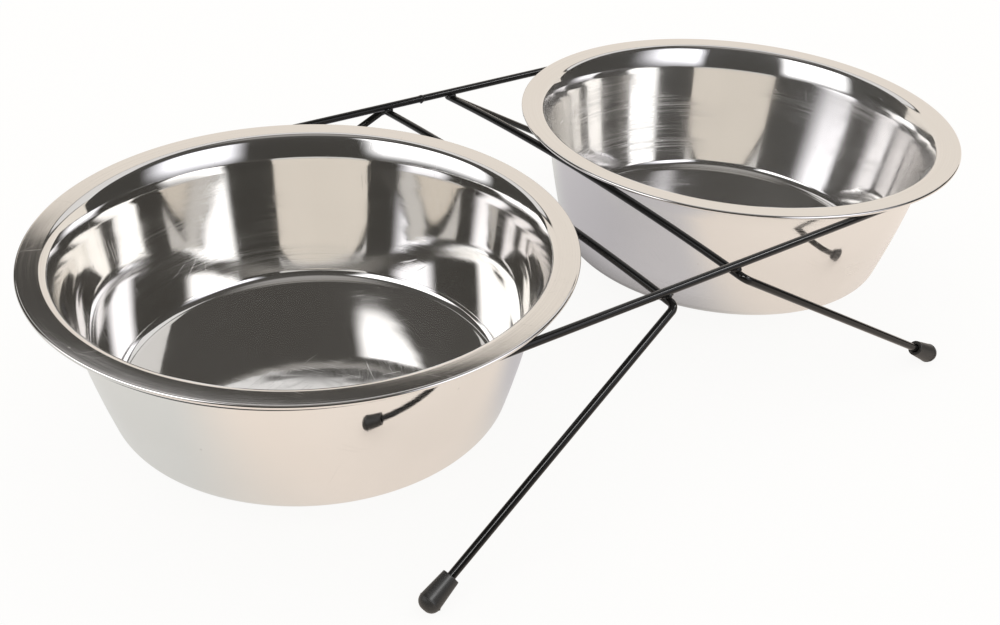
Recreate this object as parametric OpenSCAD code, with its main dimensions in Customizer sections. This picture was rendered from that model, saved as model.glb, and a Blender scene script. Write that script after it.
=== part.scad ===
// Twin-bowl dog feeder: two steel bowls hung by their rims in a welded wire stand.
// Origin on the table, midway between the bowls. +X runs from bowl to bowl, +Y to the rear, +Z up.
// Lengths are in millimetres, angles in degrees.

/* [Bowls] */
// Outside diameter of a bowl's rim
rim_d = 250; // [200:1:300]
// Width of the flat rim, from its bend to its outside edge
rim_w = 9.7; // [8.5:0.1:14]
// Angle by which the flat rim rises toward its outside edge
rim_rise = 3.4; // [0:0.1:6]
// Diameter of the rolled edge round the rim
hem_d = 2; // [1.6:0.1:2.6]
// Radius of the bend that turns the flared wall out into the rim, under the sheet
rim_bend_r = 3.5; // [2.5:0.1:4.5]
// Depth of a bowl, from the top of the rim to the underside of the base
bowl_depth = 79.5; // [60:0.5:110]
// Radius of the wall's flare below the rim, under the sheet
flare_r = 39.3; // [30:0.1:50]
// Lean of the wall from upright where the flare meets the rim's bend
flare_lean = 28; // [20:0.5:40]
// Lean of the wall from upright where the flare starts
wall_lean_high = 8.5; // [5:0.1:11]
// Lean of the wall from upright where it meets the corner of the base
wall_lean_low = 15.2; // [13:0.1:20]
// Radius of the corner between wall and base
corner_r = 6.8; // [4:0.1:12]
// Thickness of the sheet steel
steel = 0.7; // [0.5:0.1:1.2]

/* [Stand] */
// Diameter of the coated wire
wire_d = 4; // [3:0.1:5]
// How far inside the rim's edge the middle of the wire that carries it runs
seat_in = 7.5; // [6.5:0.1:9]
// Gap between the two rims
rim_gap = 28.5; // [20:0.5:60]
// Gap between a bowl's base and the table
base_lift = 16.5; // [8:0.5:60]
// Angle of the legs below the level
leg_drop = 30; // [25:0.5:60]
// Angle by which the legs turn out from the length of the stand
leg_toe = 8.5; // [5:0.5:20]
// Centre-line radius of the bend from a crossbar into a leg
bend_r = 4; // [3.5:0.5:8]
// How far the wire swells where a bend starts and ends
bend_swell = 0.03; // [0.02:0.01:0.1]
// Radius of the weld metal at each crossing of two wires
weld_r = 2.5; // [2.2:0.1:3]
// How far the butt weld's upset ring stands out from the loop's wire
butt_upset = 0.4; // [0.2:0.1:1]
// Length of the butt weld's upset ring
butt_len = 2.4; // [1.6:0.1:4]

/* [Feet] */
// Length of a rubber foot cap
foot_len = 17; // [14:0.5:24]
// Thickness of the rubber round the wire at the cap's mouth
foot_wall = 2; // [1.2:0.1:3]
// How much wider the cap's radius is at its end than at its mouth
foot_flare = 1; // [0.2:0.1:2]
// Radius of the cap's rounded end
foot_round = 3; // [2:0.1:3.8]
// Rubber between the wire's end and the cap's end
foot_sole = 4; // [3:0.5:6]
// How far the rubber flattens where it stands on the table
foot_press = 0.3; // [0.1:0.05:0.5]

/* [Clearances] */
// Gap between a bowl and the wires that carry it
seat_clear = 0.3; // [0.2:0.05:0.6]
// How far the bowls have slid in their seats, as a share of the play there
bowl_slide = 0.8; // [-0.9:0.1:0.9]
// Gap between two crossing wires, bridged by the weld
weld_gap = 0.2; // [0.1:0.05:0.4]
// Gap between the weld metal, or a rubber cap, and the wire
skin_clear = 0.03; // [0.02:0.01:0.1]

/* [Hidden] */
round_fn = 96;
arch_fn = 1440;
$fn = round_fn;
arc_steps = 8;
left = -1;
right = 1;
front = -1;
rear = 1;
wire_r = wire_d / 2;

// Direction across the sheet, to the outside, where the wall leans by this much from upright
function outward(lean) = [cos(lean), -sin(lean)];

// Bowl, measured from its own axis: centres of the arcs of its outside, from the rim down
rim_r = rim_d / 2;
base_z = base_lift;
rim_top_z = base_z + bowl_depth;
hem_r = hem_d / 2;
hem_mid = [rim_r - hem_r, rim_top_z - hem_r];
hem_from = 180 + rim_rise - asin(1 - steel / hem_r);
hem_to = 450 + rim_rise;
rim_under = hem_mid - (hem_r - steel) * outward(90 - rim_rise);
rim_flat = (rim_under.x - rim_r + rim_w) / cos(rim_rise);
rim_flat_start = rim_under - rim_flat * [cos(rim_rise), sin(rim_rise)];
rim_bend_mid = rim_flat_start + rim_bend_r * outward(90 - rim_rise);
flare_mid = rim_bend_mid + (flare_r - rim_bend_r) * outward(flare_lean);
wall_high_z = flare_mid.y + flare_r * sin(wall_lean_high);
wall_low_z = base_z + corner_r * (1 - sin(wall_lean_low));
wall_bow_r = (wall_high_z - wall_low_z) / (sin(wall_lean_low) - sin(wall_lean_high));
wall_mid = flare_mid - (flare_r + wall_bow_r) * outward(wall_lean_high);
corner_mid = wall_mid + (wall_bow_r - corner_r) * outward(wall_lean_low);

// Seats: the wires run between the flared wall and the rolled edge, low enough to pass under that edge
seat_r = rim_r - seat_in;
rail_z = rim_top_z - hem_d - seat_clear - wire_r;
flare_reach = flare_r - wire_r - seat_clear;
flare_rise = rail_z - flare_mid.y;
seat_play = sqrt(flare_reach * flare_reach - flare_rise * flare_rise) - (flare_mid.x - seat_r);
bowl_x = (rim_d + rim_gap) / 2;
stand_x = -bowl_slide * seat_play;

// Crossbars: an arch that dips under the rails and comes level with them midway
cross_x = bowl_x - seat_r;
cross_drop = wire_d + weld_gap;
arch_r = (seat_r * seat_r + cross_drop * cross_drop) / (2 * cross_drop);
bend_start_y = seat_r + weld_r;
arch_half = asin(bend_start_y / arch_r);
arch_slope = asin(seat_r / arch_r);

// Bend from the crossbar's end into a leg, worked out for the right rear leg
bend_from = [cross_x, bend_start_y, rail_z - arch_r * (1 - cos(arch_half))];
bend_in = [0, cos(arch_half), -sin(arch_half)];
leg_dir = [cos(leg_drop) * cos(leg_toe), cos(leg_drop) * sin(leg_toe), -sin(leg_drop)];
bend_angle = acos(bend_in * leg_dir);
bend_side = (leg_dir - bend_in * cos(bend_angle)) / sin(bend_angle);
bend_centre = bend_from + bend_r * bend_side;
leg_from = bend_centre + bend_r * (bend_in * sin(bend_angle) - bend_side * cos(bend_angle));

// Foot cap on the leg's axis: its rounded end meets the table
foot_mouth_r = wire_r + foot_wall;
foot_r = foot_mouth_r + foot_flare;
foot_flat_r = foot_r - foot_round;
foot_round_z = foot_flat_r * cos(leg_drop) + foot_round - foot_press;
foot_round_at = (leg_from.z - foot_round_z) / sin(leg_drop);
foot_end_at = foot_round_at + foot_round;
foot_mouth_at = foot_end_at - foot_len;
leg_len = foot_end_at - foot_sole;
table_cut = 4 * foot_r;

steel_colour = [0.78, 0.76, 0.73];
coat_colour = [0.06, 0.06, 0.065];
rubber_colour = [0.17, 0.17, 0.17];

function arc(centre, r, from, to, first = 0) =
    [for (i = [first : arc_steps]) centre + r * [cos(from + (to - from) * i / arc_steps),
                                                 sin(from + (to - from) * i / arc_steps)]];
function backwards(points) = [for (i = [len(points) - 1 : -1 : 0]) points[i]];

// One face of the sheet, from the middle of the base to the rim: skin is its distance from the outside
function sheet_face(skin) = concat(
    [[0, base_z + skin]],
    arc(corner_mid, corner_r - skin, -90, -wall_lean_low),
    arc(wall_mid, wall_bow_r - skin, -wall_lean_low, -wall_lean_high, 1),
    arc(flare_mid, flare_r + skin, 180 - wall_lean_high, 180 - flare_lean, 1),
    arc(rim_bend_mid, rim_bend_r + skin, 180 - flare_lean, 90 + rim_rise, 1));

module bowl(side) {
    color(steel_colour)
    translate([side * bowl_x, 0, 0])
    rotate_extrude()
    polygon(concat(
        sheet_face(0),
        arc(hem_mid, hem_r, hem_from, hem_to),
        backwards(sheet_face(steel))));
}

// The loop under the rims is one bent wire: two straight rails and a half round at each end
module rail(end) {
    color(coat_colour)
    translate([stand_x - bowl_x, end * seat_r, rail_z])
    rotate([0, 90, 0])
    cylinder(r = wire_r, h = 2 * bowl_x);
}

module loop_round(side) {
    color(coat_colour)
    translate([stand_x + side * bowl_x, 0, rail_z])
    rotate([0, 0, -90 * side])
    rotate_extrude(angle = 180)
    translate([seat_r, 0])
    circle(r = wire_r);
}

// Places what is drawn for the right rear leg at one of the four legs
module at_leg(side, end) {
    translate([stand_x, 0, 0])
    mirror([side == left ? 1 : 0, 0, 0])
    mirror([0, end == front ? 1 : 0, 0])
    children();
}

// Stands +Z along a leg, with the origin where the leg leaves its bend
module along_leg() {
    translate(leg_from)
    rotate([0, 90 + leg_drop, leg_toe])
    children();
}

module crossbar() {
    translate([cross_x, 0, rail_z - arch_r])
    rotate([0, -90, 0])
    rotate([0, 0, -arch_half])
    rotate_extrude(angle = 2 * arch_half, $fn = arch_fn)
    translate([arch_r, 0])
    circle(r = wire_r, $fn = round_fn);
}

module leg_bend() {
    bend_normal = cross(bend_in, bend_side);
    multmatrix([
        [-bend_side.x, bend_in.x, bend_normal.x, bend_centre.x],
        [-bend_side.y, bend_in.y, bend_normal.y, bend_centre.y],
        [-bend_side.z, bend_in.z, bend_normal.z, bend_centre.z]])
    rotate_extrude(angle = bend_angle)
    translate([bend_r, 0])
    circle(r = wire_r);
    for (end = [bend_from, leg_from])
        translate(end)
        sphere(r = wire_r + bend_swell);
}

module leg_wire(side) {
    color(coat_colour)
    union() {
        at_leg(side, rear)
        crossbar();
        for (end = [front, rear])
            at_leg(side, end)
            union() {
                leg_bend();
                along_leg()
                cylinder(r = wire_r, h = leg_len);
            }
    }
}

module foot(side, end) {
    color(rubber_colour)
    at_leg(side, end)
    difference() {
        along_leg()
        rotate_extrude()
        polygon(concat(
            [[0, foot_end_at], [0, leg_len + skin_clear]],
            [[wire_r + skin_clear, leg_len + skin_clear], [wire_r + skin_clear, foot_mouth_at]],
            [[foot_mouth_r, foot_mouth_at]],
            arc([foot_flat_r, foot_round_at], foot_round, 0, 90)));
        translate([leg_from.x, leg_from.y, -table_cut])
        linear_extrude(table_cut)
        square(2 * foot_end_at, center = true);
    }
}

// Weld metal in the crook between a rail and the crossbar that passes under it
module crossing_weld(side, end) {
    color(coat_colour)
    at_leg(side, end)
    difference() {
        translate([cross_x, seat_r, rail_z - cross_drop / 2])
        sphere(r = weld_r);
        translate([cross_x, seat_r, rail_z])
        rotate([0, 90, 0])
        cylinder(r = wire_r + skin_clear, h = 4 * weld_r, center = true);
        translate([cross_x, seat_r, rail_z - cross_drop])
        rotate([90 - arch_slope, 0, 0])
        cylinder(r = wire_r + skin_clear, h = 4 * weld_r, center = true);
    }
}

module loop_butt_weld() {
    color(coat_colour)
    translate([stand_x - butt_len / 2, seat_r, rail_z])
    rotate([0, 90, 0])
    rotate_extrude()
    polygon([
        [wire_r + skin_clear, 0],
        [wire_r + skin_clear + butt_upset, butt_len / 3],
        [wire_r + skin_clear + butt_upset, 2 * butt_len / 3],
        [wire_r + skin_clear, butt_len]]);
}

bowl(left);  // bowl_left
bowl(right);  // bowl_right
rail(front);  // rail_front
rail(rear);  // rail_rear
loop_round(left);  // loop_round_left
loop_round(right);  // loop_round_right
leg_wire(left);  // leg_wire_left
leg_wire(right);  // leg_wire_right
foot(left, front);  // foot_front_left
foot(right, front);  // foot_front_right
foot(left, rear);  // foot_rear_left
foot(right, rear);  // foot_rear_right
crossing_weld(left, front);  // weld_front_left
crossing_weld(right, front);  // weld_front_right
crossing_weld(left, rear);  // weld_rear_left
crossing_weld(right, rear);  // weld_rear_right
loop_butt_weld();
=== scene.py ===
# Looks of the twin-bowl dog feeder: spun steel bowls, gloss black wire stand, rubber foot caps.
# Lengths are in metres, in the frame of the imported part: +X from bowl to bowl, +Y to the rear, +Z up.
import math
import random

import bmesh
import bpy
from mathutils import Matrix, Vector, noise


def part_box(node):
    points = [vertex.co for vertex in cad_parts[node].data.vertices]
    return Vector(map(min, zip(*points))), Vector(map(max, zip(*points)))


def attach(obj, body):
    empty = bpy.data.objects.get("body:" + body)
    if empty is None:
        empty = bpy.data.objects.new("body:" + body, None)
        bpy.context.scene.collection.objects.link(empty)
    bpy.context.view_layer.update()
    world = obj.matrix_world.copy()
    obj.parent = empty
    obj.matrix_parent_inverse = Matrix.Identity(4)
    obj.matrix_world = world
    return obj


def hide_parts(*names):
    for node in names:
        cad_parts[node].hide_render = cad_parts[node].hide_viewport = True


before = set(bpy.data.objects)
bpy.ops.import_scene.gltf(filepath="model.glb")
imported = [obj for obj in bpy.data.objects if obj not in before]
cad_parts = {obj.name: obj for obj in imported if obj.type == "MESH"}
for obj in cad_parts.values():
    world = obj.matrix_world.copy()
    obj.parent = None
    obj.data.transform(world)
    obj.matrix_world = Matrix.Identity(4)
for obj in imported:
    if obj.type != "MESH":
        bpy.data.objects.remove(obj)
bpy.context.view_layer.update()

MM = 0.001
SIDES = {"left": -1, "right": 1}
ENDS = {"front": -1, "rear": 1}

# Bowl, read from the frame where it shows and repeated from the part's sizes where it doesn't
bowl_low, bowl_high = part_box("bowl_right")
rim_r = (bowl_high.x - bowl_low.x) / 2
bowl_x = (bowl_high.x + bowl_low.x) / 2
base_z = bowl_low.z
rim_top_z = bowl_high.z
hem_r = 1 * MM
steel = 0.7 * MM
base_r = 89.35 * MM
corner_r = 6.8 * MM
wall_lean_low = math.radians(15.2)
wall_lean_high = math.radians(8.5)
flare_r = 39.3 * MM
flare_lean = math.radians(28)
rim_bend_r = 3.5 * MM
rim_w = 9.7 * MM
rim_rise = math.radians(3.4)

# Stand
rail_low, rail_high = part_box("rail_rear")
wire_r = (rail_high.z - rail_low.z) / 2
rail_z = (rail_high.z + rail_low.z) / 2
rail_y = (rail_high.y + rail_low.y) / 2
stand_x = (rail_high.x + rail_low.x) / 2
cross_x = bowl_x - rail_y
cross_drop = 2 * wire_r + 0.2 * MM
leg_drop = math.radians(30)
leg_toe = math.radians(8.5)
leg_bend_r = 4 * MM
weld_r = 2.5 * MM
spatter_beads = 4
butt_len = 2.4 * MM
butt_rise = 0.43 * MM
butt_nub_r = 0.75 * MM

# Feet; the end is rounder than the part's own, and the mould's flash line lies where it starts
foot_len = 17 * MM
foot_wall = 2 * MM
foot_flare = 1 * MM
foot_round = 3 * MM
foot_sole = 4 * MM
foot_press = 0.3 * MM
foot_lip_r = 0.35 * MM
foot_end_r = 4.2 * MM
foot_end_reach = foot_round + 0.3 * MM
flash_at = foot_end_reach - foot_end_r
flash_rise = 0.16 * MM
nub_rise = 0.3 * MM

# Table, and the lamps over the stand
table_half = 4.0
table_sunk = 0.15 * MM
strip_w = 300 * MM
strip_y = -600 * MM
strip_z = 1000 * MM
strip_glow = 14

# Camera, as the photograph was taken; the picture is 1000 by 625
picture_w = 1000
focal_px = 1139.5
sensor_w = 36.0
camera_turn = math.radians(-37.728)
camera_tilt = math.radians(33.216)
camera_roll = math.radians(3.206)
camera_reach = 475.29 * MM
camera_aim = Vector((-100.36 * MM, -96.12 * MM, 95.0 * MM))


class Val:
    """One output in a node tree. Python's operators on it add Math nodes."""

    def __init__(self, finish, socket):
        self.finish = finish
        self.socket = socket

    def math(self, operation, *others):
        return self.finish.add("ShaderNodeMath", {"operation": operation}, [self, *others])

    def from_left(self, operation, other):
        return self.finish.add("ShaderNodeMath", {"operation": operation}, [other, self])

    def __add__(self, other):
        return self.math("ADD", other)

    def __sub__(self, other):
        return self.math("SUBTRACT", other)

    def __mul__(self, other):
        return self.math("MULTIPLY", other)

    def __truediv__(self, other):
        return self.math("DIVIDE", other)

    def __rsub__(self, other):
        return self.from_left("SUBTRACT", other)

    def __rtruediv__(self, other):
        return self.from_left("DIVIDE", other)

    __radd__ = __add__
    __rmul__ = __mul__

    def rise(self, low, high):
        """0 below low, 1 above high, smooth between; falls instead where low is above high."""
        start, end, out = (low, high, (0, 1)) if low < high else (high, low, (1, 0))
        settings = {"interpolation_type": "SMOOTHSTEP"}
        return self.finish.add("ShaderNodeMapRange", settings, [self, start, end, *out])

    def band(self, low, high, soft):
        """1 between low and high, with edges that fade over soft."""
        return self.rise(low - soft, low + soft) * self.rise(high + soft, high - soft)


class Finish:
    """The node tree of one material, or of the world."""

    def __init__(self, owner):
        self.owner = owner
        owner.use_nodes = True
        self.tree = owner.node_tree
        self.tree.nodes.clear()

    def add(self, kind, settings=None, sockets=(), out=0):
        """Adds a node: its settings first, then its sockets by place or name. Gives one output."""
        node = self.tree.nodes.new(kind)
        for name, value in (settings or {}).items():
            setattr(node, name, value)
        pairs = sockets.items() if isinstance(sockets, dict) else enumerate(sockets)
        for key, value in pairs:
            socket = node.inputs[key]
            if isinstance(value, Val):
                self.tree.links.new(value.socket, socket)
            elif socket.type == "RGBA":
                socket.default_value = (*value, 1)
            else:
                socket.default_value = value
        return Val(self, node.outputs[out]) if node.outputs else None

    def mix(self, share, first, second):
        """Mixes two colours by share."""
        settings = {"data_type": "RGBA", "clamp_factor": True}
        return self.add("ShaderNodeMix", settings, {0: share, 6: first, 7: second}, 2)

    def vector(self, x, y, z):
        return self.add("ShaderNodeCombineXYZ", None, [x, y, z])

    def parts(self, vector):
        """The three numbers of a vector."""
        first = self.add("ShaderNodeSeparateXYZ", None, [vector])
        return [Val(self, output) for output in first.socket.node.outputs]

    def place(self):
        """The point on the piece, in the piece's own axes."""
        return self.add("ShaderNodeTexCoord", None, (), "Object")

    def grain(self, where, scale, detail=2.0, rough=0.5):
        """Soft random grain, about 0 to 1."""
        sockets = {"Vector": where, "Scale": scale, "Detail": detail, "Roughness": rough}
        return self.add("ShaderNodeTexNoise", None, sockets)

    def cells(self, where, scale, output="Distance"):
        """Random cells, as the distance to the nearest cell's middle or as a colour for each cell."""
        return self.add("ShaderNodeTexVoronoi", None, {"Vector": where, "Scale": scale}, output)

    def bump(self, height, depth, under=None):
        """Turns a height of 0 to 1 into a normal, depth being in metres."""
        sockets = {"Strength": 1.0, "Distance": depth, "Height": height}
        if under:
            sockets["Normal"] = under
        return self.add("ShaderNodeBump", None, sockets)

    def surface(self, shader, target="ShaderNodeOutputMaterial"):
        """Ends the tree in its output. Gives the material or the world."""
        self.add(target, None, {"Surface": shader})
        return self.owner


def material(name):
    return Finish(bpy.data.materials.new(name))


# Finishes

def scratch_marks(paint, x, y, z):
    """Thin straight scratches in a few directions, each in patches only."""
    marks = None
    for turn, seed in ((0.4, 3.1), (1.3, 7.7), (2.2, 12.9), (2.9, 21.3)):
        lengthwise = x * math.cos(turn) + y * math.sin(turn)
        across = y * math.cos(turn) - x * math.sin(turn)
        threads = paint.grain(paint.vector(lengthwise * 38, across * 2100, z * 38 + seed), 1.0, 1.0)
        patch = paint.grain(paint.vector(x * 30 + seed, y * 30, z * 30), 1.0, 1.0)
        mark = threads.rise(0.70, 0.78) * patch.rise(0.50, 0.62)
        marks = mark if marks is None else marks.math("MAXIMUM", mark)
    return marks


def bowl_steel(name, wear, haze):
    """Spun stainless steel: mirror walls with round lines that wear brings out, under a film of haze."""
    paint = material(name)
    where = paint.place()
    x, y, z = paint.parts(where)
    reach = (x * x + y * y).math("SQRT").math("MAXIMUM", 1e-4)
    along = reach + z
    east = x / reach
    north = y / reach

    on_rim = z.rise(rim_top_z - 2.5 * MM, rim_top_z - 0.6 * MM)
    on_base = z.rise(base_z + 5 * MM, base_z + 1.5 * MM)
    off_axis = reach.rise(3 * MM, 28 * MM)

    # Lines left by spinning and polishing: long round the bowl, thin across
    lines = paint.grain(paint.vector(east * 1.3, north * 1.3, along * 2600), 1.0, 3.0, 0.6)
    fine = paint.grain(paint.vector(east * 5, north * 5, along * 7000), 1.0, 2.0, 0.6)
    rings = paint.grain(paint.vector(0.0, 0.0, along * 420), 1.0, 3.0, 0.7)
    clouds = paint.grain(where, 22.0, 3.0)
    worn = paint.grain(paint.vector(east * 1.8, north * 1.8, along * 30), 1.0, 2.0).rise(0.42, 0.66)
    brushed = lines.rise(0.38, 0.66) * worn * off_axis * (1 - on_rim) * (1 - 0.7 * on_base) * wear
    ripples = paint.grain(paint.vector(east * 2.2, north * 2.2, along * 55), 1.0, 1.0)

    scratches = scratch_marks(paint, x, y, z) * (1 - 0.7 * on_rim)
    dots = paint.cells(where, 170.0)
    chance = paint.parts(paint.cells(where, 170.0, "Color"))[0]
    specks = dots.rise(0.13, 0.06) * chance.rise(0.955, 0.965)

    satin = 0.03 + 0.02 * on_rim + 0.02 * on_base
    rough = satin + (lines - 0.5) * (0.03 + 0.04 * on_rim) * off_axis + (clouds - 0.5) * 0.03
    rough = rough + (rings - 0.5) * 0.08 * on_base
    rough = rough + brushed * 0.30 + scratches * 0.09 + specks * 0.2
    tone = paint.mix(clouds.rise(0.3, 0.7) * 0.5, (0.875, 0.862, 0.84), (0.84, 0.826, 0.80))
    tone = paint.mix(on_rim * (0.4 + lines.rise(0.3, 0.7) * 0.35), tone, (0.785, 0.76, 0.735))
    tone = paint.mix(specks * 0.6 + scratches * 0.12 + brushed * 0.1, tone, (0.70, 0.68, 0.65))
    relief = paint.bump(lines * off_axis, 0.002 * MM)
    relief = paint.bump(fine * off_axis, 0.0006 * MM, relief)
    relief = paint.bump((ripples - 0.5) * off_axis, 0.05 * MM, relief)
    relief = paint.bump(scratches, 0.004 * MM, relief)
    shader = paint.add("ShaderNodeBsdfPrincipled", None, {
        "Base Color": tone,
        "Metallic": 1.0,
        "Roughness": rough.math("MAXIMUM", 0.015),
        "Coat Weight": (0.6 + clouds * 0.8) * (1 - on_rim) * (1 - 0.75 * on_base) * haze,
        "Coat Roughness": 0.45,
        "Coat IOR": 1.8,
        "Normal": relief,
    })
    return paint.surface(shader)


def wire_coat():
    """Gloss black dipped coating: slightly wavy, with fine dust and dulled patches."""
    paint = material("wire_coat")
    where = paint.place()
    peel = paint.grain(where, 900.0, 2.0)
    waves = paint.grain(where, 190.0, 1.0)
    haze = paint.grain(where, 60.0, 3.0)
    dust = paint.grain(where, 2600.0, 1.0).rise(0.70, 0.78) * haze.rise(0.45, 0.7)
    tone = paint.mix(haze, (0.005, 0.0048, 0.0046), (0.009, 0.0088, 0.0085))
    tone = paint.mix(dust * 0.25, tone, (0.16, 0.155, 0.15))
    relief = paint.bump(peel, 0.0012 * MM)
    relief = paint.bump(waves, 0.006 * MM, relief)
    shader = paint.add("ShaderNodeBsdfPrincipled", None, {
        "Base Color": tone,
        "Roughness": 0.16 + haze * 0.1 + dust * 0.1,
        "Specular IOR Level": 0.05,
        "Coat Weight": 1.0,
        "Coat Roughness": 0.06,
        "Coat IOR": 1.3,
        "Normal": relief,
    })
    return paint.surface(shader)


def foot_rubber():
    """Moulded rubber: dull dark grey, faintly pitted, a little paler where it has been rubbed."""
    paint = material("foot_rubber")
    where = paint.place()
    pits = paint.grain(where, 2200.0, 3.0)
    flow = paint.grain(where, 260.0, 2.0)
    rubbed = paint.grain(where, 120.0, 3.0).rise(0.5, 0.72)
    tone = paint.mix(flow, (0.022, 0.021, 0.020), (0.032, 0.031, 0.029))
    tone = paint.mix(rubbed * 0.35, tone, (0.060, 0.058, 0.055))
    relief = paint.bump(pits, 0.003 * MM)
    relief = paint.bump(flow, 0.02 * MM, relief)
    shader = paint.add("ShaderNodeBsdfPrincipled", None, {
        "Base Color": tone,
        "Roughness": 0.34 + pits * 0.12 - rubbed * 0.06,
        "Specular IOR Level": 0.45,
        "Normal": relief,
    })
    return paint.surface(shader)


# Shapes

def new_piece(name, points, faces, finish, normals=()):
    """A smooth mesh object, with its own normals where they are given."""
    mesh = bpy.data.meshes.new(name)
    mesh.from_pydata(points, [], faces)
    mesh.validate()
    mesh.shade_smooth()
    if normals:
        mesh.normals_split_custom_set_from_vertices(normals)
    mesh.materials.append(finish)
    piece = bpy.data.objects.new(name, mesh)
    bpy.context.scene.collection.objects.link(piece)
    return piece


def dress(piece, body, slot, *nodes):
    """Puts a piece in place of CAD nodes, on their body."""
    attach(piece, body)
    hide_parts(*nodes)
    return piece


class Skin:
    """Rings of points, one after another, that become a piece's faces."""

    def __init__(self, around):
        self.around = around
        self.angles = [2 * math.pi * k / around for k in range(around)]
        self.points = []
        self.normals = []
        self.rings = []

    def ring(self, points, normals=()):
        first = len(self.points)
        self.points += points
        self.normals += normals
        self.rings.append(range(first, first + self.around))

    def tip(self, point, *normals):
        """A ring drawn together to one point."""
        self.rings.append([len(self.points)] * self.around)
        self.points.append(point)
        self.normals += normals

    def faces(self):
        """Faces from ring to ring, closed round; a tip makes triangles."""
        faces = []
        for low, high in zip(self.rings, self.rings[1:]):
            for k in range(self.around):
                nxt = (k + 1) % self.around
                corners = [low[k], low[nxt], high[nxt], high[k]]
                kept = [c for i, c in enumerate(corners) if c != corners[i - 1]]
                if len(kept) > 2:
                    faces.append(kept)
        return faces

    def piece(self, name, finish):
        return new_piece(name, self.points, self.faces(), finish, self.normals)


def sweep(run, radius, heading, steps):
    """Goes on round an arc to a new heading: to the left for a positive radius, to the right below 0."""
    spot, lean = run[-1]
    centre = spot - lean * radius
    start = math.atan2(lean.y, lean.x)
    turn = heading - math.pi / 2 - start
    for step in range(1, steps + 1):
        angle = start + turn * step / steps
        swing = Vector((math.cos(angle), math.sin(angle)))
        run.append((centre + swing * radius, swing))


def sheet_profile():
    """The bowl's outline round the sheet: outside from the base up, round the rim, down the inside."""
    upright = math.pi / 2
    hem_centre = Vector((rim_r - hem_r, rim_top_z - hem_r))
    rim_up = Vector((-math.sin(rim_rise), math.cos(rim_rise)))
    rim_under = hem_centre + rim_up * (hem_r - steel)
    flat_start_z = rim_under.y - (rim_under.x - rim_r + rim_w) * math.tan(rim_rise)
    bend_rise = rim_bend_r * (math.cos(rim_rise) - math.sin(flare_lean))
    flare_rise = flare_r * (math.sin(flare_lean) - math.sin(wall_lean_high))
    corner_rise = corner_r * (1 - math.sin(wall_lean_low))
    wall_rise = flat_start_z - base_z - bend_rise - flare_rise - corner_rise
    wall_bow = wall_rise / (math.sin(wall_lean_low) - math.sin(wall_lean_high))
    down = Vector((0, -1))
    outside = [(Vector((0, base_z)), down), (Vector((base_r, base_z)), down)]
    sweep(outside, corner_r, upright - wall_lean_low, 14)
    sweep(outside, wall_bow, upright - wall_lean_high, 16)
    sweep(outside, -flare_r, upright - flare_lean, 12)
    sweep(outside, -rim_bend_r, rim_rise, 14)
    inside = [(spot - lean * steel, -lean) for spot, lean in reversed(outside)]
    hem = []
    for step in range(31):
        angle = rim_rise + math.radians(-180 + 9 * step)
        swing = Vector((math.cos(angle), math.sin(angle)))
        hem.append((hem_centre + swing * hem_r, swing))
    return split_long(outside + hem + inside)


def split_long(run, longest=4 * MM):
    """Adds points so that no straight stretch is long, and drops points that fall together."""
    fine = [run[0]]
    for (a, lean_a), (b, lean_b) in zip(run, run[1:]):
        gap = (b - a).length
        if gap < 1e-7:
            continue
        cuts = max(1, math.ceil(gap / longest))
        for cut in range(1, cuts + 1):
            share = cut / cuts
            fine.append((a.lerp(b, share), lean_a.lerp(lean_b, share).normalized()))
    return fine


def turned(flat, angle):
    """A point of an outline, given as (distance out, height), turned about the Z axis."""
    return (flat.x * math.cos(angle), flat.x * math.sin(angle), flat.y)


def turned_bowl(name, side, finish):
    """Turns the sheet's outline about the bowl's axis."""
    skin = Skin(288)
    for spot, lean in sheet_profile():
        if spot.x < 1e-6:
            skin.tip((0, 0, spot.y), (0, 0, math.copysign(1, lean.y)))
        else:
            skin.ring([turned(spot, a) for a in skin.angles], [turned(lean, a) for a in skin.angles])
    piece = skin.piece(name, finish)
    piece.location.x = side * bowl_x
    return piece


def bent_wire(name, path, finish, closed=False):
    """A round wire along a path of points."""
    beyond = [path[-1], *path, path[0]] if closed else [path[0], *path, path[-1]]
    headings = [(after - before).normalized() for before, after in zip(beyond, beyond[2:])]
    side = Vector((0, 0, 1)) if closed else headings[0].orthogonal().normalized()
    skin = Skin(32)
    if not closed:
        skin.tip(path[0], -headings[0])
    for spot, heading in zip(path, headings):
        side = (side - heading * side.dot(heading)).normalized()
        other = heading.cross(side)
        swings = [side * math.cos(angle) + other * math.sin(angle) for angle in skin.angles]
        skin.ring([spot + swing * wire_r for swing in swings], swings)
    if closed:
        skin.rings.append(skin.rings[0])
    else:
        skin.tip(path[-1], headings[-1])
    return skin.piece(name, finish)


def loop_path():
    """The rim loop's centre line: two half rounds and two straight rails."""
    round_steps = 96
    rail_steps = 24
    path = []
    for side in (1, -1):
        centre = Vector((stand_x + side * bowl_x, 0, rail_z))
        for step in range(round_steps + 1):
            angle = math.radians(-90 + 180 * step / round_steps)
            path.append(centre + Vector((math.cos(angle), math.sin(angle), 0)) * side * rail_y)
        start = path[-1]
        for step in range(1, rail_steps):
            path.append(start - Vector((side * 2 * bowl_x * step / rail_steps, 0, 0)))
    return path


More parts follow.
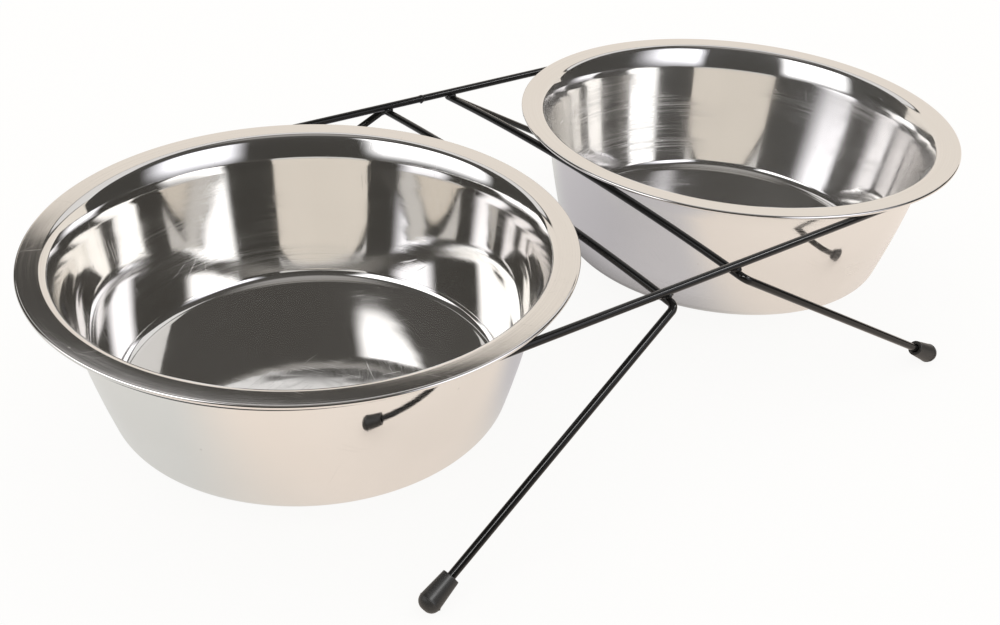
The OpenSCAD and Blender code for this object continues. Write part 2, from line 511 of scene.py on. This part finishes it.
def leg_shape():
    """The right leg wire, about x = 0: its crossbar, its rear leg's bend and that leg's direction."""
    arch_steps = 48
    bend_steps = 16
    arch_r = (rail_y ** 2 + cross_drop ** 2) / (2 * cross_drop)
    half = math.asin((rail_y + weld_r) / arch_r)
    arch = []
    for step in range(arch_steps):
        angle = half * (2 * step / arch_steps - 1)
        drop = arch_r * (1 - math.cos(angle))
        arch.append(Vector((cross_x, arch_r * math.sin(angle), rail_z - drop)))
    bend_from = Vector((cross_x, rail_y + weld_r, rail_z - arch_r * (1 - math.cos(half))))
    bend_in = Vector((0, math.cos(half), -math.sin(half)))
    flat = math.cos(leg_drop)
    leg_dir = Vector((flat * math.cos(leg_toe), flat * math.sin(leg_toe), -math.sin(leg_drop)))
    turn = bend_in.angle(leg_dir)
    inward = ((leg_dir - bend_in * math.cos(turn)) / math.sin(turn)).normalized()
    centre = bend_from + inward * leg_bend_r
    bend = []
    for step in range(bend_steps + 1):
        angle = turn * step / bend_steps
        bend.append(centre + (bend_in * math.sin(angle) - inward * math.cos(angle)) * leg_bend_r)
    return arch, bend, leg_dir


def foot_places(leg_from):
    """How far along the leg, from its bend, the part's round foot end starts and the wire ends."""
    foot_r = wire_r + foot_wall + foot_flare
    round_z = (foot_r - foot_round) * math.cos(leg_drop) + foot_round - foot_press
    round_at = (leg_from.z - round_z) / math.sin(leg_drop)
    return round_at, round_at + foot_round - foot_sole


def at_leg(spot, side, end):
    """Moves a point of the right rear leg to one of the four legs."""
    return Vector((stand_x + side * spot.x, end * spot.y, spot.z))


def leg_path(side):
    """One leg wire's centre line, from its front foot over the crossbar to its rear foot."""
    leg_steps = 24
    arch, bend, leg_dir = leg_shape()
    _, wire_end = foot_places(bend[-1])
    leg = [bend[-1] + leg_dir * wire_end * step / leg_steps for step in range(1, leg_steps + 1)]
    half = bend + leg
    front = [at_leg(spot, side, -1) for spot in reversed(half)]
    middle = [at_leg(spot, side, 1) for spot in arch[1:]]
    rear = [at_leg(spot, side, 1) for spot in half]
    return front + middle + rear


def foot_profile():
    """A foot cap's outline (r, reach along the leg): bore, mouth, taper, flash line, round end, pit."""
    mouth_r = wire_r + foot_wall
    foot_r = mouth_r + foot_flare
    mouth = foot_round - foot_len
    bore = wire_r + 0.05 * MM
    run = [(bore, mouth + 6 * MM), (bore, mouth + 0.6 * MM), (bore + 0.3 * MM, mouth + 0.1 * MM)]
    run += [(bore + 0.6 * MM, mouth), (mouth_r - foot_lip_r, mouth)]
    for step in range(1, 7):
        angle = math.radians(15 * step)
        out = mouth_r - foot_lip_r + foot_lip_r * math.sin(angle)
        run.append((out, mouth + foot_lip_r - foot_lip_r * math.cos(angle)))
    taper_from = mouth + foot_lip_r
    taper_to = flash_at - 0.5 * MM
    for step in range(1, 15):
        share = step / 15
        run.append((mouth_r + foot_flare * share, taper_from + (taper_to - taper_from) * share))
    for share, past in ((0, -0.45), (0.6, -0.25), (1, -0.12), (1, 0.02), (0.5, 0.15)):
        run.append((foot_r + flash_rise * share, flash_at + past * MM))
    for step in range(1, 13):
        angle = math.radians(7.5 * step)
        out = foot_r - foot_end_r + foot_end_r * math.cos(angle)
        run.append((out, flash_at + foot_end_r * math.sin(angle)))
    pit = foot_end_reach
    run += [(0.6 * MM, pit), (0.4 * MM, pit - 0.2 * MM), (0, pit - 0.25 * MM)]
    return run


def foot_cap(name, side, end, finish):
    """A rubber cap turned about its leg, pressed flat on the table, with a small gate nub."""
    _, bend, leg_dir = leg_shape()
    round_at, _ = foot_places(bend[-1])
    centre = at_leg(bend[-1] + leg_dir * round_at, side, end)
    axis = Vector((side * leg_dir.x, end * leg_dir.y, leg_dir.z))
    across = axis.cross(Vector((0, 0, 1))).normalized()
    under = axis.cross(across)
    nub_angle = math.radians(160 if side * end > 0 else 20)
    skin = Skin(64)
    for r, reach in foot_profile():
        middle = centre + axis * reach
        if r == 0:
            skin.tip(middle)
            continue
        ring = []
        for angle in skin.angles:
            apart = abs((angle - nub_angle + math.pi) % (2 * math.pi) - math.pi)
            nub = nub_rise * math.exp(-(apart / 0.10) ** 2 - ((reach - flash_at) / (0.5 * MM)) ** 2)
            spot = middle + (across * math.cos(angle) + under * math.sin(angle)) * (r + nub)
            spot.z = max(spot.z, 0)
            ring.append(spot)
        skin.ring(ring)
    return skin.piece(name, finish)


def add_lump(points, faces, centre, radius, squash, seed, rough):
    """Adds a rounded lump with uneven skin to a piece's points and faces."""
    ball = bmesh.new()
    bmesh.ops.create_icosphere(ball, subdivisions=4, radius=1)
    shift = Vector((seed, seed * 1.7, seed * 0.3))
    first = len(points)
    for vert in ball.verts:
        swell = 1 + rough * noise.fractal(vert.co * 1.7 + shift, 1.0, 2.0, 3)
        points.append(centre + Vector((vert.co.x, vert.co.y, vert.co.z * squash)) * radius * swell)
    faces += [[first + vert.index for vert in face.verts] for face in ball.faces]
    ball.free()


def crossing_weld(name, side, end, finish):
    """Weld metal in the crook of a rail and a crossbar, with a few beads of spatter under the coat."""
    draw = random.Random(name)
    middle = at_leg(Vector((cross_x, rail_y, rail_z - cross_drop / 2)), side, end)
    points, faces = [], []
    add_lump(points, faces, middle, weld_r, 0.78, draw.uniform(0, 9), 0.10)
    out = weld_r * 0.93
    for _ in range(spatter_beads):
        angle = draw.uniform(0, 2 * math.pi)
        height = draw.uniform(-0.5, 0.5) * MM
        spot = middle + Vector((out * math.cos(angle), out * math.sin(angle), height))
        add_lump(points, faces, spot, draw.uniform(0.3, 0.5) * MM, 0.9, draw.uniform(0, 9), 0.15)
    return new_piece(name, points, faces, finish)


def butt_weld(name, finish):
    """The upset ring where the loop's two wire ends are joined, with a nub squeezed out below."""
    steps = 20
    skin = Skin(48)
    for step in range(steps + 1):
        share = 2 * step / steps - 1
        rise = butt_rise * (1 - share * share)
        middle = Vector((stand_x + share * butt_len / 2, rail_y, rail_z))
        ring = []
        for angle in skin.angles:
            swing = Vector((0, math.cos(angle), math.sin(angle)))
            uneven = 0.75 + 0.6 * noise.noise(Vector((share * 1.5, swing.y * 1.4, swing.z * 1.4)))
            ring.append(middle + swing * (wire_r - 0.02 * MM + rise * uneven))
        skin.ring(ring)
    points, faces = skin.points, skin.faces()
    nub_at = Vector((stand_x - 0.2 * MM, rail_y - 0.5 * MM, rail_z - wire_r - 0.1 * MM))
    add_lump(points, faces, nub_at, butt_nub_r, 0.8, 4.2, 0.12)
    return new_piece(name, points, faces, finish)


# The feeder

steel_finishes = {
    "left": bowl_steel("bowl_steel_left", wear=0.3, haze=0.15),
    "right": bowl_steel("bowl_steel_right", wear=0.8, haze=0.9),
}
coat_finish = wire_coat()
rubber_finish = foot_rubber()
stand_pieces = []


def stand_piece(piece, slot, *nodes):
    """Dresses a piece of the stand, and notes it for the strip lamps."""
    stand_pieces.append(dress(piece, "stand", slot, *nodes))


for word, side in SIDES.items():
    bowl = turned_bowl(f"steel_bowl_{word}", side, steel_finishes[word])
    dress(bowl, f"{word}_bowl", "bowl_steel", f"bowl_{word}")
    leg_wire = bent_wire(f"coated_leg_wire_{word}", leg_path(side), coat_finish)
    stand_piece(leg_wire, "wire_coat", f"leg_wire_{word}")
    for place, end in ENDS.items():
        foot = foot_cap(f"rubber_foot_{place}_{word}", side, end, rubber_finish)
        stand_piece(foot, "foot_rubber", f"foot_{place}_{word}")
        weld = crossing_weld(f"coated_weld_{place}_{word}", side, end, coat_finish)
        stand_piece(weld, "wire_coat", f"weld_{place}_{word}")

loop = bent_wire("coated_rim_loop", loop_path(), coat_finish, closed=True)
stand_piece(loop, "wire_coat", "rail_front", "rail_rear", "loop_round_left", "loop_round_right")
seam = butt_weld("coated_butt_weld", coat_finish)
stand_piece(seam, "wire_coat", "loop_butt_weld")


# Studio

def ray_kinds(paint):
    """Masks for what the camera sees itself, and for what it sees in shiny or clear pieces."""
    rays = paint.add("ShaderNodeLightPath").socket.node.outputs
    clear = Val(paint, rays["Is Transmission Ray"])
    to_metal = Val(paint, rays["Is Glossy Ray"]).math("MAXIMUM", clear)
    return Val(paint, rays["Is Camera Ray"]), to_metal


def studio_world():
    """White to the camera and plain to matt pieces; metal sees the dim room beyond the light panels."""
    world = bpy.data.worlds.new("studio")
    bpy.context.scene.world = world
    world.cycles.sampling_method = "NONE"
    sky = Finish(world)
    height = sky.parts(sky.add("ShaderNodeTexCoord", None, (), "Generated"))[2]
    room = sky.mix(height.rise(0.3, 0.92), (0.058, 0.055, 0.050), (0.085, 0.081, 0.076))
    room = sky.mix(height.rise(0.92, 0.995), room, (0.36, 0.35, 0.34))
    plain = sky.mix(height.rise(-0.2, 0.9), (0.92, 0.92, 0.93), (1.06, 1.06, 1.05))
    to_camera, to_metal = ray_kinds(sky)
    light = sky.mix(to_metal, plain, room)
    light = sky.mix(to_camera, light, (1.0, 0.995, 0.985))
    sky.surface(sky.add("ShaderNodeBackground", None, [light, 1.0]), "ShaderNodeOutputWorld")


def tent_spot(across, ahead):
    """A place on the table, in mm from the left bowl's middle: across and ahead as the camera faces."""
    right = Vector((math.cos(camera_turn), math.sin(camera_turn), 0))
    front = Vector((-math.sin(camera_turn), math.cos(camera_turn), 0))
    return Vector((-bowl_x, 0, 0)) + right * across * MM + front * ahead * MM


def light_panel(name, start, end, low, high, fades, colour):
    """An upright sheet of the light tent that only shiny pieces show; places and fades are in mm."""
    start = tent_spot(*start)
    along = tent_spot(*end) - start
    near_fade, far_fade, low_fade, high_fade = (fade * MM for fade in fades)
    left, right = -near_fade, along.length + far_fade
    bottom, top = low * MM - low_fade, high * MM + high_fade
    paint = material(name)
    x, _, z = paint.parts(paint.place())
    lit = x.rise(left, near_fade) * x.rise(right, along.length - far_fade)
    lit = lit * z.rise(bottom, low * MM + low_fade) * z.rise(top, high * MM - high_fade)
    glow = paint.add("ShaderNodeEmission", None, [colour, 1.0])
    clear = paint.add("ShaderNodeBsdfTransparent")
    finish = paint.surface(paint.add("ShaderNodeMixShader", None, [lit, clear, glow]))
    finish.cycles.emission_sampling = "NONE"
    corners = [(left, 0, bottom), (right, 0, bottom), (right, 0, top), (left, 0, top)]
    sheet = new_piece(name, corners, [[0, 1, 2, 3]], finish)
    facing = Matrix.Rotation(math.atan2(along.y, along.x), 4, "Z")
    sheet.matrix_world = Matrix.Translation(start) @ facing
    sheet.visible_camera = False
    sheet.visible_diffuse = False
    sheet.visible_shadow = False


def strip_lamp(name, start, end):
    """A soft lamp overhead, from start to end in mm along X, that draws bright lines on the stand."""
    tube = bpy.data.lights.new(name, "AREA")
    tube.shape = "RECTANGLE"
    tube.size = (end - start) * MM
    tube.size_y = strip_w
    tube.energy = strip_glow * math.pi * tube.size * tube.size_y
    lamp = bpy.data.objects.new(name, tube)
    lamp.location = ((start + end) / 2 * MM, strip_y, strip_z)
    lamp.visible_camera = False
    lamp.visible_diffuse = False
    bpy.context.scene.collection.objects.link(lamp)
    lit = bpy.data.collections.new(name + "_lights")
    for piece in stand_pieces:
        lit.objects.link(piece)
    lamp.light_linking.receiver_collection = lit


def light_tent():
    """The paper background and the soft boxes that the steel mirrors, and the lamps over the stand."""
    light_panel(
        "paper_background", start=(-1004, 1197), end=(1500, 1197), low=-100, high=850,
        fades=(25, 25, 5, 10), colour=(0.895, 0.83, 0.757),
    )
    light_panel(
        "soft_box_top", start=(-1080, 1205), end=(1500, 1205), low=930, high=2600,
        fades=(40, 60, 15, 150), colour=(0.82, 0.81, 0.81),
    )
    light_panel(
        "soft_box_left", start=(-172, -323), end=(-770, 23), low=175, high=755,
        fades=(55, 170, 80, 45), colour=(2.0, 2.0, 2.05),
    )
    light_panel(
        "soft_box_right", start=(514, 0), end=(406, -380), low=160, high=570,
        fades=(110, 100, 110, 120), colour=(1.7, 1.7, 1.82),
    )
    strip_lamp("strip_lamp_left", -750, -80)
    strip_lamp("strip_lamp_right", 650, 1200)


def white_table():
    """A wide white table top that keeps a soft shadow of the feeder; metal shows it as paper with a warm
    painted light in front and at the right, painted shade between the bowls and a painted shadow next to
    the right bowl.
    """
    paint = material("white_table")
    where = paint.place()
    x, y, _ = paint.parts(where)
    to_camera, to_metal = ray_kinds(paint)
    # Painted light and shade in the table's tone for metal: a warm painted light in front and at the
    # right, lilac painted shade between the bowls, and a dark painted shadow close to the right bowl's
    # foot.
    warm_painted_light = y.rise(-30 * MM, -110 * MM).math("MAXIMUM", x.rise(120 * MM, 200 * MM))
    between = x.band(-60 * MM, 70 * MM, 40 * MM) * y.rise(-110 * MM, -60 * MM)
    from_axis = ((x - bowl_x) * (x - bowl_x) + y * y).math("SQRT")
    painted_contact_shadow = from_axis.rise(base_r + 32 * MM, base_r + 6 * MM)
    mottle = paint.grain(where, 3.0, 2.0).rise(0.35, 0.65)
    pale_with_painted_light = paint.mix(warm_painted_light, (0.78, 0.78, 0.76), (0.98, 0.875, 0.79))
    # Painted shade between the bowls, then a darker painted shadow beside the right bowl.
    pale_with_painted_light = paint.mix(between, pale_with_painted_light, (0.64, 0.62, 0.655))
    pale_with_painted_light = paint.mix(between * painted_contact_shadow * 0.75, pale_with_painted_light, (0.16, 0.155, 0.15))
    pale_with_painted_light = paint.mix(mottle * 0.2, pale_with_painted_light, (0.88, 0.83, 0.78))
    tone = paint.mix(to_camera, pale_with_painted_light, (0.97, 0.965, 0.955))
    glow = paint.mix(to_camera, pale_with_painted_light, (1.0, 0.995, 0.985))
    matt = paint.add("ShaderNodeBsdfDiffuse", None, {"Color": tone})
    lit = paint.add("ShaderNodeEmission", None, [glow, 1.0])
    share = to_camera * 0.92 + to_metal * 0.7
    finish = paint.surface(paint.add("ShaderNodeMixShader", None, [share, matt, lit]))
    ends = ((-1, -1), (1, -1), (1, 1), (-1, 1))
    corners = [(across * table_half, along * table_half, -table_sunk) for across, along in ends]
    new_piece("table_top", corners, [[0, 1, 2, 3]], finish)


def photo_camera():
    """The camera where the photograph was taken from."""
    lens = bpy.data.cameras.new("photo_camera")
    lens.sensor_fit = "HORIZONTAL"
    lens.sensor_width = sensor_w
    lens.lens = focal_px * sensor_w / picture_w
    lens.clip_start = 0.01
    camera = bpy.data.objects.new("photo_camera", lens)
    bpy.context.scene.collection.objects.link(camera)
    flat = math.cos(camera_tilt)
    back = Vector((math.sin(camera_turn) * flat, -math.cos(camera_turn) * flat, math.sin(camera_tilt)))
    right = (-back).cross(Vector((0, 0, 1))).normalized()
    up = right.cross(-back)
    rolled = right * math.cos(camera_roll) + up * math.sin(camera_roll)
    raised = up * math.cos(camera_roll) - right * math.sin(camera_roll)
    turn = Matrix((rolled, raised, back)).transposed().to_4x4()
    camera.matrix_world = Matrix.Translation(camera_aim + back * camera_reach) @ turn
    bpy.context.scene.camera = camera


studio_world()
light_tent()
white_table()
photo_camera()
bpy.context.scene.view_settings.view_transform = "Standard"
bpy.context.scene.cycles.glossy_bounces = 12

bpy.context.view_layer.update()
